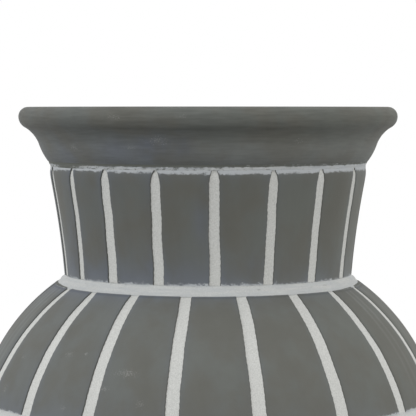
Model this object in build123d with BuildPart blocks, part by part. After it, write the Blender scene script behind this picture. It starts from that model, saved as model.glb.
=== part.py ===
"""Urn vase of dark stoneware with pale slip inlaid in carved lines.

Millimetres, +Z up. The origin is the middle of the foot, on the surface that the vase stands on.
The vessel is made in five turned sections, luted one on the other with lap joints. A ring of slip covers
each joint, and upright lines of slip fill grooves that are carved between the rings, in three tiers.
"""
from build123d import *
import os
from math import acos, asin, cos, sin, sqrt

# Outer radii
neck_top_radius = 97.3  # neck where the collar stands on it
rim_overhang = 17.7  # widest line of the rolled lip, past the top of the neck
mouth_flare = 5.7  # inner edge of the lip, past the top of the neck
neck_radius = 87.4  # narrowest line, where the neck stands on the shoulder
body_radius = 143.1  # widest line of the body
heel_radius = 82.0  # body where it stands on the foot
foot_radius = 87.0  # foot where it stands on the table
foot_bore = 64.0  # hollow inside the foot

# Heights of the sections, stacked from the foot up
foot_height = 14.0
belly_rise = 121.4  # from the foot to the widest line
shoulder_rise = 101.6  # from the widest line to the neck
neck_height = 67.4
collar_height = 35.6

# Clay
wall = 9.0
floor_thickness = 12.0
floor_round = 14.0  # inside corner between the floor and the wall
toe_round = 3.0  # outer edge of the foot
neck_hollow = 1.1  # how far the neck curves in between its ends
lip_round = 5.8  # upper outer edge of the lip
mouth_round = 4.0  # upper inner edge of the lip
roll_radius = 7.5  # underside of the lip
roll_turn = 60.0  # degrees
cove_radius = 19.5  # hollow below the lip
cove_turn = 41.0  # degrees

# Lap joints between the sections
lap_height = 5.0  # tongue on the inner half of the lower section
lute_gap = 0.2  # room for the wet slip that glues the tongue in
boss_drop = 3.0  # boss under the floor that centres the foot
belly_joint_rise = 26.0  # joint of shoulder and belly, above the widest line

# Carved lines and the slip in them
groove_depth = 1.8
slip_recess = 0.5  # slip lies this far below the clay
overcut = 1.0  # cutters reach this far past the clay
curve_steps = 4  # spans of the curves of the body
corner_run = 0.05  # radians that those curves run on inside the neck and the foot

collar_band_rise = 3.0  # ring of slip above and below the foot of the collar
collar_band_drop = 1.2
neck_band_rise = 1.6  # ring of slip in the corner of neck and shoulder
neck_band_spread = 6.1
belly_band_height = 9.0
foot_band_rise = 5.0  # ring of slip in the corner of belly and foot
foot_band_drop = 2.5

stripe_count = 18  # in each tier
stripe_phase = 12.2  # degrees from +X to the first line of the neck
neck_stripe_top = 5.6  # widths of the lines
neck_stripe_bottom = 6.0
neck_stripe_tip = 2.2
neck_stripe_taper = 5.0  # length of the pointed start under the collar
shoulder_stripe_top = 6.3
shoulder_stripe_bottom = 7.8
belly_stripe_top = 7.8
belly_stripe_bottom = 5.6

# Levels of the joints
z_foot = foot_height
z_floor = z_foot + floor_thickness
z_wide = z_foot + belly_rise
z_belly = z_wide + belly_joint_rise
z_neck = z_wide + shoulder_rise
z_collar = z_neck + neck_height
z_rim = z_collar + collar_height
z_lip = z_rim - lip_round

# Levels where the rings of slip end
collar_band_low = z_collar - collar_band_drop
collar_band_high = z_collar + collar_band_rise
neck_band_high = z_neck + neck_band_rise
belly_band_low = z_belly - belly_band_height / 2
belly_band_high = z_belly + belly_band_height / 2
foot_band_low = z_foot - foot_band_drop
foot_band_high = z_foot + foot_band_rise

# Sizes that follow from the others
rim_radius = neck_top_radius + rim_overhang
mouth_radius = neck_top_radius + mouth_flare
neck_band_edge = neck_radius + neck_band_spread
reach = body_radius + rim_radius  # well outside the vase
pitch = 360 / stripe_count


def upright_arc_radius(inset, rise):
    """Radius of an arc that is upright at the widest line and passes through a point above or below it."""
    return (inset**2 + rise**2) / (2 * inset)


# Arcs of the body, whose centres lie level with the widest line
shoulder_arc = upright_arc_radius(body_radius - neck_radius, shoulder_rise)
belly_arc = upright_arc_radius(body_radius - heel_radius, belly_rise)
shoulder_centre = body_radius - shoulder_arc
belly_centre = body_radius - belly_arc
shoulder_inner_arc = shoulder_arc - wall
belly_inner_arc = belly_arc - wall


def turned_curve(centre, radius, start, end):
    """Smooth curve through points on an arc about a centre level with the widest line, angles in radians."""
    angles = [start + (end - start) * step / curve_steps for step in range(curve_steps + 1)]
    points = [(centre + radius * cos(angle), z_wide + radius * sin(angle)) for angle in angles]
    return Spline(*points, tangents=[(-sin(start), cos(start)), (-sin(end), cos(end))])


def turned_form(inset=0.0):
    """Half section of the solid form, from the axis to the outer surface, with a skin taken off."""
    with BuildSketch(Plane.XZ) as stack:
        with BuildLine():
            heel = heel_radius - inset
            Polyline((0, z_wide), (0, 0), (foot_radius - inset, 0), (heel, z_foot), (heel, z_wide), close=True)
        make_face()
        with BuildLine():
            heel_angle = asin(belly_rise / belly_arc) + corner_run
            crown_angle = asin(shoulder_rise / shoulder_arc) + corner_run
            belly = turned_curve(belly_centre, belly_arc - inset, -heel_angle, 0)
            shoulder = turned_curve(shoulder_centre, shoulder_arc - inset, 0, crown_angle)
            Polyline(shoulder @ 1, (0, (shoulder @ 1).Y), (0, (belly @ 0).Y), belly @ 0)
        make_face()
        with BuildLine():
            neck_foot = (neck_radius - inset, z_neck)
            neck_top = (neck_top_radius - inset, z_collar)
            SagittaArc(neck_foot, neck_top, neck_hollow)
            roll = JernArc((rim_radius - inset, z_lip), (0, -1), roll_radius, -roll_turn)
            cove = JernArc(roll @ 1, roll % 1, cove_radius, cove_turn)
            TangentArc(cove @ 1, neck_top, tangent=cove % 1)
            lip = JernArc((rim_radius - inset, z_lip), (0, 1), lip_round, 90)
            Polyline(lip @ 1, (0, z_rim), (0, z_wide), (neck_radius - inset, z_wide), neck_foot)
        make_face()
    return stack.sketch_local


# Half section of the hollow inside
with BuildSketch(Plane.XZ) as cavity:
    with BuildLine():
        floor_radius = belly_centre + sqrt(belly_inner_arc**2 - (z_wide - z_floor) ** 2)
        Polyline((0, z_rim), (0, z_floor), (floor_radius, z_floor))
        turned_curve(belly_centre, belly_inner_arc, -asin((z_wide - z_floor) / belly_inner_arc), 0)
        throat_angle = acos((neck_radius - wall - shoulder_centre) / shoulder_inner_arc)
        throat = turned_curve(shoulder_centre, shoulder_inner_arc, 0, throat_angle)
        neck_inside = Line(throat @ 1, (neck_top_radius - wall, z_collar))
        TangentArc(neck_inside @ 1, (mouth_radius, z_rim), tangent=neck_inside % 1)
        Line((mouth_radius, z_rim), (0, z_rim))
    make_face()
    fillet(cavity.vertices().sort_by_distance((floor_radius, z_floor))[0], floor_round)

# Layer that the carver cuts out, and the part of it that slip fills
with BuildSketch(Plane.XZ) as groove_layer:
    add(turned_form(-overcut))
    add(turned_form(groove_depth), mode=Mode.SUBTRACT)

with BuildSketch(Plane.XZ) as slip_layer:
    add(turned_form(slip_recess))
    add(turned_form(groove_depth), mode=Mode.SUBTRACT)


def window(radius_low, radius_high, z_low, z_high):
    """Keep the part of a half section between two radii and two levels."""
    with Locations((radius_low, z_low)):
        corner = (Align.MIN, Align.MIN)
        Rectangle(radius_high - radius_low, z_high - z_low, align=corner, mode=Mode.INTERSECT)


# Stretch of the surface that each ring of slip covers: two radii and two levels
collar_band_window = (0, reach, collar_band_low, collar_band_high)
neck_band_window = (0, neck_band_edge, z_wide, neck_band_high)
belly_band_window = (0, reach, belly_band_low, belly_band_high)
foot_band_window = (0, reach, foot_band_low, foot_band_high)
band_windows = [collar_band_window, neck_band_window, belly_band_window, foot_band_window]

# Stretch of the surface that each tier of lines covers, from ring to ring
neck_tier = (0, reach, neck_band_high, collar_band_low)
shoulder_tier = (neck_band_edge, reach, belly_band_high, z_neck)
belly_tier = (0, reach, foot_band_high, belly_band_low)

# Half section of the clay, with the grooves of the rings cut in it
with BuildSketch(Plane.XZ) as clay:
    add(turned_form())
    add(cavity.sketch_local, mode=Mode.SUBTRACT)
    fillet(clay.vertices().sort_by_distance((mouth_radius, z_rim))[0], mouth_round)
    fillet(clay.vertices().sort_by_distance((foot_radius, 0))[0], toe_round)
    for band_window in band_windows:
        with BuildSketch(mode=Mode.SUBTRACT):
            add(groove_layer.sketch_local)
            window(*band_window)


def joint_edge(lap_radius, z, gap=0.0):
    """Stepped line of a lap joint, from the axis outwards, with room for the lute on the upper section."""
    step = lap_radius + gap
    tongue_top = z + lap_height + gap
    return [(0, tongue_top), (step, tongue_top), (step, z), (reach, z)]


def section(lower_edge, upper_edge):
    """Half section of the clay between two joints."""
    with BuildSketch(Plane.XZ) as between:
        add(clay.sketch_local)
        with BuildLine():
            Polyline(*lower_edge, *reversed(upper_edge), close=True)
        make_face(mode=Mode.INTERSECT)
    return between.sketch


collar_lap = neck_top_radius - wall / 2
neck_lap = neck_radius - wall / 2
belly_lap = shoulder_centre + sqrt((shoulder_arc - wall / 2) ** 2 - belly_joint_rise**2)
boss_radius = foot_bore - lute_gap
boss_edge = [(0, z_foot - boss_drop), (boss_radius, z_foot - boss_drop), (boss_radius, z_foot), (reach, z_foot)]
ground_edge = [(foot_bore, 0), (reach, 0)]
foot_edge = [(foot_bore, z_foot), (reach, z_foot)]
rim_edge = [(0, z_rim), (reach, z_rim)]


def upright_line(layer, tier, front):
    """One upright line, groove or slip: a layer within a tier, inside an outline drawn on the front."""
    with BuildPart() as line:
        with BuildSketch(Plane.XZ):
            add(layer.sketch_local)
            window(*tier)
        revolve(axis=Axis.Z)
        with BuildSketch(Plane.YZ):
            with BuildLine():
                Polyline(*front, close=True)
            make_face()
        extrude(amount=reach, mode=Mode.INTERSECT)
    return line.part


def outline(*widths):
    """Outline of an upright line, from its widths at rising levels."""
    right = [(width / 2, z) for z, width in widths]
    left = [(-width / 2, z) for z, width in reversed(widths)]
    return right + left


# The lines run past their tier, which cuts them off, and those of the neck start in a point
neck_end = collar_band_low + overcut
neck_outline = outline(
    (neck_band_high - overcut, neck_stripe_bottom),
    (neck_end - neck_stripe_taper, neck_stripe_top),
    (neck_end, neck_stripe_tip),
)
shoulder_outline = outline(
    (belly_band_high - overcut, shoulder_stripe_bottom),
    (z_neck + overcut, shoulder_stripe_top),
)
belly_outline = outline(
    (foot_band_high - overcut, belly_stripe_bottom),
    (belly_band_low + overcut, belly_stripe_top),
)

# Every second tier is turned by half a pitch, so the lines stagger like brickwork
neck_ring = PolarLocations(0, stripe_count, start_angle=stripe_phase)
shoulder_ring = PolarLocations(0, stripe_count, start_angle=stripe_phase + pitch / 2)
belly_ring = PolarLocations(0, stripe_count, start_angle=stripe_phase)

neck_gouge = upright_line(groove_layer, neck_tier, neck_outline)
shoulder_gouge = upright_line(groove_layer, shoulder_tier, shoulder_outline)
belly_gouge = upright_line(groove_layer, belly_tier, belly_outline)
neck_line = upright_line(slip_layer, neck_tier, neck_outline)
shoulder_line = upright_line(slip_layer, shoulder_tier, shoulder_outline)
belly_line = upright_line(slip_layer, belly_tier, belly_outline)

# Rim collar
with BuildPart() as rim_collar:
    revolve(section(joint_edge(collar_lap, z_collar, lute_gap), rim_edge), axis=Axis.Z)

# Neck
with BuildPart() as neck_wall:
    revolve(section(joint_edge(neck_lap, z_neck, lute_gap), joint_edge(collar_lap, z_collar)), axis=Axis.Z)
    with neck_ring:
        add(neck_gouge, mode=Mode.SUBTRACT)

# Shoulder
with BuildPart() as shoulder_wall:
    revolve(section(joint_edge(belly_lap, z_belly, lute_gap), joint_edge(neck_lap, z_neck)), axis=Axis.Z)
    with shoulder_ring:
        add(shoulder_gouge, mode=Mode.SUBTRACT)

# Belly and floor
with BuildPart() as belly_bowl:
    revolve(section(boss_edge, joint_edge(belly_lap, z_belly)), axis=Axis.Z)
    with belly_ring:
        add(belly_gouge, mode=Mode.SUBTRACT)

# Foot
with BuildPart() as foot_ring:
    revolve(section(ground_edge, foot_edge), axis=Axis.Z)


def ring_of_slip(band_window):
    """A ring of slip in its groove over a joint."""
    with BuildPart() as ring:
        with BuildSketch(Plane.XZ):
            add(slip_layer.sketch_local)
            window(*band_window)
        revolve(axis=Axis.Z)
    return ring


collar_band = ring_of_slip(collar_band_window)
neck_band = ring_of_slip(neck_band_window)
belly_band = ring_of_slip(belly_band_window)
foot_band = ring_of_slip(foot_band_window)

# Lines of slip
with BuildPart() as neck_stripes:
    with neck_ring:
        add(neck_line)

with BuildPart() as shoulder_stripes:
    with shoulder_ring:
        add(shoulder_line)

with BuildPart() as belly_stripes:
    with belly_ring:
        add(belly_line)

pieces = {
    "rim_collar": rim_collar,
    "neck_wall": neck_wall,
    "shoulder_wall": shoulder_wall,
    "belly_bowl": belly_bowl,
    "foot_ring": foot_ring,
    "collar_band": collar_band,
    "neck_band": neck_band,
    "belly_band": belly_band,
    "foot_band": foot_band,
    "neck_stripes": neck_stripes,
    "shoulder_stripes": shoulder_stripes,
    "belly_stripes": belly_stripes,
}

os.makedirs("parts", exist_ok=True)
for name, piece in pieces.items():
    piece.part.label = name
    export_step(piece.part, f"parts/{name}.step")
    size = piece.part.bounding_box().size
    print(f"{name}: {len(piece.part.solids())} solids, {size.X:.1f} x {size.Y:.1f} x {size.Z:.1f} mm")
print(f"height {z_rim:.1f} mm, widest {2 * body_radius:.1f} mm")
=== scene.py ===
# %% [markdown]
# # An urn vase of dark stoneware with pale slip inlay
# Such a vase is turned on a wheel in sections, here five, that are luted one on the other. A carver then
# cuts upright lines into the leather-hard clay and fills them with pale liquid clay, called slip, and paints
# a ring of slip over each joint. This lesson rebuilds those pieces in the frame of the CAD model. What is
# turned is drawn as a half section and spun. The lines are then cut as by hand, so no two are quite alike.

# %% Load the frame
import math
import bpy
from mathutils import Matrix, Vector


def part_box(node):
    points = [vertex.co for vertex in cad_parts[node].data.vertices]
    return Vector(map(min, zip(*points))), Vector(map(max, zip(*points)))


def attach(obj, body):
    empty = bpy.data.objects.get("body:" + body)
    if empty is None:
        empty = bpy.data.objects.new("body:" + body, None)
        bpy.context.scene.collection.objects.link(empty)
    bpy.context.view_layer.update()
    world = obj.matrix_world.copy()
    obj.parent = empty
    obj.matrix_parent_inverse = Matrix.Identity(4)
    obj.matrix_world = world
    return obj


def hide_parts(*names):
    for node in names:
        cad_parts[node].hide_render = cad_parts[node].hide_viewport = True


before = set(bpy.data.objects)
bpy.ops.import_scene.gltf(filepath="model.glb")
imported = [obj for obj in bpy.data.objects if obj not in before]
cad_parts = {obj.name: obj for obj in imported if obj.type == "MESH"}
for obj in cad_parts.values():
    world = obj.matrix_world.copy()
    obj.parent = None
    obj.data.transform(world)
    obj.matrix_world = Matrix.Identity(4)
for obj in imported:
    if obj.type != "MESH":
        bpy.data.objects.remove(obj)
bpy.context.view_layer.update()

from types import SimpleNamespace

import bpy
import numpy as np

MM = 0.001
print("CAD nodes:", ", ".join(sorted(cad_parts)))

# %% [markdown]
# ## Sizes
# The levels of the joints and the large radii come from the boxes of the CAD nodes, so the visible clay sits
# where the solids are. The laps and the depth of the grooves are those of the solids, and the rings of slip
# end within about a millimetre of theirs.

# %% Levels and radii
Z_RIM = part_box("rim_collar")[1].z
Z_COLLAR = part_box("rim_collar")[0].z
Z_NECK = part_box("neck_wall")[0].z
Z_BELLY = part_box("shoulder_wall")[0].z
Z_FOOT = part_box("foot_ring")[1].z
RIM_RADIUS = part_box("rim_collar")[1].x
BODY_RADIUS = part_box("belly_bowl")[1].x
NECK_TOP_RADIUS = 97.3 * MM
NECK_RADIUS = 87.4 * MM
HEEL_RADIUS = 82 * MM
FOOT_RADIUS = 87 * MM
FOOT_BORE = 64 * MM
Z_WIDE = Z_BELLY - 26 * MM
Z_FLOOR = Z_FOOT + 12 * MM
WALL = 9 * MM
LAP = 5 * MM
LUTE = 0.2 * MM
GROOVE_DEPTH = 1.8 * MM
COLLAR_BAND_TOP = Z_COLLAR + 3 * MM
COLLAR_BAND_FOOT = Z_COLLAR - 1.2 * MM
NECK_HEADS = COLLAR_BAND_FOOT + 1.0 * MM
NECK_BAND_TOP = Z_NECK + 1.6 * MM
NECK_BAND_EDGE = NECK_RADIUS + 5.6 * MM
BELLY_BAND_HALF = 4.5 * MM
FOOT_BAND_TOP = Z_FOOT + 5 * MM
FOOT_BAND_FOOT = Z_FOOT - 2.5 * MM
print(f"joints at {Z_FOOT:.4f}, {Z_BELLY:.4f}, {Z_NECK:.4f} and {Z_COLLAR:.4f} m, rim at {Z_RIM:.4f} m")

# %% [markdown]
# ## The camera
# The photograph looks slightly down at the upper half of the vase from a little over a metre away, through a
# long lens. Its pitch, distance and focal length were worked out from the ellipses of the rings.

# %% Camera
CAMERA_DISTANCE = 1.1385
CAMERA_HEIGHT = 0.3375
CAMERA_PITCH = math.radians(2.976)
CAMERA_LENS = 161.48
SENSOR_WIDTH = 36
bpy.ops.object.select_all(action="DESELECT")
bpy.ops.object.camera_add(
    location=(0, -CAMERA_DISTANCE, CAMERA_HEIGHT), rotation=(math.pi / 2 - CAMERA_PITCH, 0, 0)
)
camera = bpy.context.object
camera.name = "camera"
camera.data.sensor_width = SENSOR_WIDTH
camera.data.lens = CAMERA_LENS
bpy.context.scene.camera = camera
print(f"camera {CAMERA_DISTANCE} m in front, lens {CAMERA_LENS:.1f} mm")

# %% [markdown]
# ## The outline of the body
# The shoulder and the belly are two arcs that meet upright at the widest line. A point on them is named by
# its distance along the curve from that line, up or down, which keeps rows of a mesh evenly spaced.


# %% Body curve
def upright_arc(inset, rise):
    """Radius of an arc that is upright at one end and passes a point that far in and up."""
    return (inset**2 + rise**2) / (2 * inset)


SHOULDER_ARC = upright_arc(BODY_RADIUS - NECK_RADIUS, Z_NECK - Z_WIDE)
BELLY_ARC = upright_arc(BODY_RADIUS - HEEL_RADIUS, Z_WIDE - Z_FOOT)


def body_point(along, skin=0.0):
    """Radius and level of a point of the body, a skin below the surface."""
    arc = SHOULDER_ARC if along >= 0 else BELLY_ARC
    angle = along / arc
    return BODY_RADIUS - arc + (arc - skin) * math.cos(angle), Z_WIDE + (arc - skin) * math.sin(angle)


def along_at_level(level, skin=0.0):
    """Distance along the body at a level."""
    arc = SHOULDER_ARC if level >= Z_WIDE else BELLY_ARC
    return arc * math.asin((level - Z_WIDE) / (arc - skin))


def along_at_radius(radius, skin=0.0):
    """Distance along the shoulder at a radius."""
    return SHOULDER_ARC * math.acos((radius - BODY_RADIUS + SHOULDER_ARC) / (SHOULDER_ARC - skin))


def body_run(start, end, count, skin=0.0):
    """Points of the body from one distance to another."""
    return [body_point(along, skin) for along in np.linspace(start, end, count)]


print(f"shoulder arc {SHOULDER_ARC / MM:.1f} mm, belly arc {BELLY_ARC / MM:.1f} mm")

# %% [markdown]
# ## The outline of the neck
# The neck widens upwards and is a touch hollow, with a softened upper edge. Its inside is a plain cone from
# the throat to the collar. A formula for the radius at a level gives both the rows of the mesh and the seats
# of the rings.

# %% Neck curve
NECK_HOLLOW = 1.1 * MM
TOP_ROUND = 1.4 * MM
TOP_RUN = 2.4 * MM
THROAT_RADIUS = NECK_RADIUS - WALL
Z_THROAT = body_point(along_at_radius(THROAT_RADIUS, WALL), WALL)[1]


def neck_surface(level, skin=0.0):
    """Outer radius of the neck at a level."""
    share = (level - Z_NECK) / (Z_COLLAR - Z_NECK)
    straight = NECK_RADIUS + share * (NECK_TOP_RADIUS - NECK_RADIUS)
    edge = TOP_ROUND * math.exp(-max(COLLAR_BAND_FOOT - level, 0) / TOP_RUN)
    return straight - 4 * NECK_HOLLOW * share * (1 - share) - edge - skin


def neck_inside(level):
    """Inner radius of the neck at a level."""
    share = (level - Z_THROAT) / (Z_COLLAR - Z_THROAT)
    return THROAT_RADIUS + share * (NECK_TOP_RADIUS - WALL - THROAT_RADIUS)


NECK_LAP = NECK_RADIUS - WALL / 2
COLLAR_LAP = NECK_TOP_RADIUS - WALL / 2
BELLY_LAP = body_point(along_at_level(Z_BELLY, WALL / 2), WALL / 2)[0]
print(f"throat radius {THROAT_RADIUS / MM:.1f} mm at level {Z_THROAT / MM:.1f} mm")

# %% [markdown]
# ## Spinning a half section
# On the wheel every section is round, so the quickest true way is to draw its half section once and spin it.
# The outline is drawn as by hand: one vertex, extruded from point to point, closed, then spun. Each vertex
# keeps the number of its outline point in an attribute, so that it can be found again after the spin.


# %% Draw an outline
def clear_selection():
    """Leave nothing selected, so that an operator acts on the new piece alone."""
    if bpy.context.mode != "OBJECT":
        bpy.ops.object.mode_set(mode="OBJECT")
    bpy.ops.object.select_all(action="DESELECT")


def pick(piece):
    """Select one piece alone and make it active."""
    clear_selection()
    piece.select_set(True)
    bpy.context.view_layer.objects.active = piece


def draw_outline(name, outline):
    """One vertex, extruded along a closed outline of radii and levels in the plane of X and Z."""
    clear_selection()
    bpy.ops.mesh.primitive_plane_add(size=MM)
    piece = bpy.context.object
    piece.name = piece.data.name = name
    bpy.ops.object.mode_set(mode="EDIT")
    bpy.ops.mesh.merge(type="CENTER")
    bpy.ops.transform.translate(value=(outline[0][0], 0, outline[0][1]))
    for (radius, level), (next_radius, next_level) in zip(outline, outline[1:]):
        step = (next_radius - radius, 0, next_level - level)
        bpy.ops.mesh.extrude_region_move(TRANSFORM_OT_translate={"value": step})
    bpy.ops.object.mode_set(mode="OBJECT")
    for vertex in piece.data.vertices:
        vertex.select = vertex.index in (0, len(outline) - 1)
    bpy.ops.object.mode_set(mode="EDIT")
    bpy.ops.mesh.edge_face_add()
    bpy.ops.object.mode_set(mode="OBJECT")
    row = piece.data.attributes.new("row", "INT", "POINT")
    row.data.foreach_set("value", np.arange(len(outline), dtype=np.int32))
    return piece


# %% Spin it round the axis
def spin_section(name, outline, columns):
    """A ring of clay or slip, spun from its half section."""
    piece = draw_outline(name, outline)
    bpy.ops.object.mode_set(mode="EDIT")
    bpy.ops.mesh.select_all(action="SELECT")
    bpy.ops.mesh.spin(steps=columns, angle=2 * math.pi, center=(0, 0, 0), axis=(0, 0, 1))
    bpy.ops.mesh.select_all(action="SELECT")
    bpy.ops.mesh.remove_doubles(threshold=0.001 * MM)
    bpy.ops.mesh.normals_make_consistent(inside=False)
    bpy.ops.object.mode_set(mode="OBJECT")
    return piece


# %% Read, move and paint vertices
def read_points(piece):
    """Vertices of a piece as an array of points, and the outline row of each."""
    points = np.empty(len(piece.data.vertices) * 3)
    piece.data.vertices.foreach_get("co", points)
    rows = np.empty(len(piece.data.vertices), dtype=np.int32)
    piece.data.attributes["row"].data.foreach_get("value", rows)
    return points.reshape(-1, 3), rows


def turn_of(points):
    """Angle of each point round the axis, from the front to the right."""
    return np.arctan2(points[:, 0], -points[:, 1])


def write_points(piece, points):
    """Move the vertices of a piece."""
    piece.data.vertices.foreach_set("co", np.ascontiguousarray(points).ravel())
    piece.data.update()


def paint(piece, name, values):
    """Keep one number for each vertex, for a material to read."""
    layer = piece.data.attributes.new(name, "FLOAT", "POINT")
    layer.data.foreach_set("value", np.ascontiguousarray(values, dtype=np.float32))


print("outlines are drawn by extruding one vertex and spun round the axis")

# %% [markdown]
# ## Hand-cut lines
# A tier is one belt of upright lines between two rings of slip. Its lines are nearly evenly spaced, but a
# hand cut them: each one drifts a little, and its two edges waver. The waver is a sum of a few sine waves
# with seeded starts, so it is smooth like a blade's path, and the same each time the lesson runs.

# %% The carver's hand
LINES = 18
PITCH = 2 * math.pi / LINES
DRIFT = 0.25 * MM
DRIFT_RUN = 70 * MM
EDGE_WAVER = 0.10 * MM
EDGE_RUN = 24 * MM
RAGGED = 0.13 * MM
RAGGED_RUN = 3.6 * MM
HEAD_RUN = 7 * MM
THINNEST_HALF = 0.3 * MM
hand = np.random.default_rng(18)


def waver(along, wavelength):
    """A smooth uneven line of about plus or minus one."""
    turns = 2 * np.pi * along / wavelength
    return sum(np.sin(turns * wave + hand.uniform(0, 2 * np.pi)) / wave for wave in (1, 2, 3, 5)) / 1.4


# %% Plan of a tier
def outward_of(rows):
    """Which way an outline faces at each of its points, which are listed from the top down."""
    slope = np.gradient(rows, axis=0)
    slope /= np.linalg.norm(slope, axis=1)[:, None]
    return np.stack([-slope[:, 1], slope[:, 0]], axis=1)


def plan_tier(surface, phase, cut, fan, widths, tip=None):
    """Where the lines of a tier run on its surface, which is listed from the top down."""
    rows = np.array(surface)
    steps = np.linalg.norm(np.diff(rows, axis=0), axis=1)
    down = np.concatenate([[0], np.cumsum(steps)])
    share = down / down[-1]
    tier = SimpleNamespace(radius=rows[:, 0], level=rows[:, 1], down=down, outward=outward_of(rows))
    tier.middle = np.empty((LINES, len(rows)))
    tier.half = np.empty((2, LINES, len(rows)))
    tier.depth = np.empty((LINES, len(rows)))
    for line in range(LINES):
        home = phase + line * PITCH
        lean = np.radians(cut.top[line] + share * (cut.foot[line] - cut.top[line]))
        lean -= math.radians(fan) * math.sin(home) * (1 - share)
        tier.middle[line] = home + lean + DRIFT * waver(down, DRIFT_RUN) / tier.radius
        width = cut.breadth[line] * (widths[0] + share * (widths[1] - widths[0]))
        width *= 1 - cut.head[line] * np.exp(-down / HEAD_RUN)
        opened = np.zeros(len(rows))
        for side in (0, 1):
            arch = np.ones(len(rows))
            if tip:
                start = tip.start * hand.uniform(0, 1) ** 2
                arch = np.clip((down - start) / tip.length, 0, 1) ** tip.sharpness
            edge = width / 2 + EDGE_WAVER * waver(down, EDGE_RUN) + RAGGED * waver(down, RAGGED_RUN)
            tier.half[side, line] = np.maximum(edge * arch, THINNEST_HALF)
            opened = np.maximum(opened, arch)
        tier.depth[line] = GROOVE_DEPTH * np.minimum(1, 3 * opened)
    print(f"tier of {LINES} lines, {down[-1] / MM:.0f} mm long")
    return tier


print(f"{LINES} lines to a tier, {math.degrees(PITCH):.0f} degrees apart")

# %% [markdown]
# ## Carving a section
# A boolean cut would need a shaped bar for each line and leave untidy faces. The spun wall instead has the
# same number of columns for every line of its tier. Sliding those columns to the two edges of each groove,
# and pressing the ones between them in, cuts a groove whose edges follow the knife and not the grid. The
# stations across a groove give it a flat floor, steep walls and a soft upper edge.

# %% Stations across a groove
GROOVE_RUN = 0.35 * MM
ARRIS = 0.45 * MM
THINNEST_FLOOR = 0.1 * MM
HALF_GROOVE = [  # from the edge inwards: share of the floor, step out over the wall, share of the depth
    (1.0, GROOVE_RUN + ARRIS, 0.0),
    (1.0, GROOVE_RUN, 0.14),
    (1.0, 0.5 * GROOVE_RUN, 0.62),
    (1.0, 0.0, 0.96),
    (0.5, 0.0, 1.0),
]
LEFT_HALF = [(-1, *station) for station in HALF_GROOVE]
RIGHT_HALF = [(1, *station) for station in reversed(HALF_GROOVE)]
STATIONS = [*LEFT_HALF, (1, 0.0, 0.0, 1.0), *RIGHT_HALF]
PANEL_COLUMNS = 14
COLUMNS_PER_LINE = len(STATIONS) + PANEL_COLUMNS
COLUMNS = LINES * COLUMNS_PER_LINE


# %% Slide and press the columns
def column_paths(tier):
    """Angle, depth and distance from the nearest groove of every column, at every row of a tier."""
    rows = len(tier.down)
    angle = np.empty((LINES, COLUMNS_PER_LINE, rows))
    depth = np.zeros_like(angle)
    for station, (side, share, step, sunk) in enumerate(STATIONS):
        half = tier.half[(side + 1) // 2]
        floor = np.maximum(half - GROOVE_RUN, THINNEST_FLOOR)
        angle[:, station] = tier.middle + side * (share * floor + step) / tier.radius
        depth[:, station] = -sunk * tier.depth
    left = angle[:, len(STATIONS) - 1]
    right = np.roll(angle[:, 0], -1, axis=0)
    right[-1] += 2 * np.pi
    clear = np.zeros_like(angle)
    for column in range(PANEL_COLUMNS):
        share = (column + 1) / (PANEL_COLUMNS + 1)
        angle[:, len(STATIONS) + column] = left + share * (right - left)
        clear[:, len(STATIONS) + column] = min(share, 1 - share) * (right - left) * tier.radius
    return angle, depth, clear


def carve(piece, outline, tier):
    """Slide the columns of a spun wall to the lines of its tier and press the grooves in."""
    points, rows = read_points(piece)
    turn = np.arctan2(points[:, 1], points[:, 0])
    column = np.rint(turn / (2 * np.pi / COLUMNS)).astype(int) % COLUMNS
    line, station = column // COLUMNS_PER_LINE, column % COLUMNS_PER_LINE
    outline = np.array(outline)
    nearest = np.abs(outline[:, 1][:, None] - tier.level[None, :]).argmin(axis=1)
    on_tier = np.arange(len(outline)) < len(tier.down)
    nearest[on_tier] = np.arange(len(tier.down))
    at = nearest[rows]
    angle, depth, clear = column_paths(tier)
    angle = angle[line, station, at]
    sunk = np.where(on_tier[rows], depth[line, station, at], 0)
    radius = outline[rows, 0] + tier.outward[at, 0] * sunk
    level = outline[rows, 1] + tier.outward[at, 1] * sunk
    write_points(piece, np.stack([radius * np.sin(angle), -radius * np.cos(angle), level], axis=1))
    return SimpleNamespace(
        top=tier.down[at],
        foot=tier.down[-1] - tier.down[at],
        clear=clear[line, station, at],
        line=line,
        station=station,
        on_tier=on_tier[rows],
    )


print(f"{COLUMNS} columns round a carved wall")

# %% [markdown]
# ## Neck
# The neck carries the first tier. Its lines start in a point under the collar, where the gouge went in, and
# run full width into the ring of slip at the foot of the neck. Each line leans and swells in its own way, as
# on the photograph where it shows there, and made up in the same spirit where it doesn't: degrees at the top
# and at the foot, a factor on the width, and how much narrower the head is.

# %% Neck tier
NECK_ROWS = 106
NECK_PHASE = math.radians(2.2)
NECK_CUT = SimpleNamespace(
    top=[-0.1, 0.6, 0.5, 2.0, 0.4, -0.5, 0.6, -0.3, 0.7, -0.6, 0.3, 0.9, -0.4, 0.5, 2.0, 1.9, -0.2, -0.4],
    foot=[0.3, 1.1, 1.1, 2.3, 0.2, -0.8, 0.9, -0.1, 0.4, -0.4, 0.6, 0.5, -0.6, 0.8, 1.4, 0.1, -1.1, -1.0],
    breadth=[1.03, 0.95, 0.98, 0.95, 1, 0.95, 1.05, 1, 1.08, 0.96, 1, 1.04, 0.97, 1, 1.45, 0.9, 1.1, 1.02],
    head=[0] * LINES,
)
NECK_TIP = SimpleNamespace(start=-2 * MM, length=8 * MM, sharpness=0.45)
NECK_WIDTHS = (5.7 * MM, 6.2 * MM)
neck_levels = np.linspace(NECK_HEADS, NECK_BAND_TOP, NECK_ROWS)
neck_face = [(neck_surface(level), level) for level in neck_levels]
neck_tier = plan_tier(neck_face, NECK_PHASE, NECK_CUT, 0.0, NECK_WIDTHS, NECK_TIP)

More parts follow.
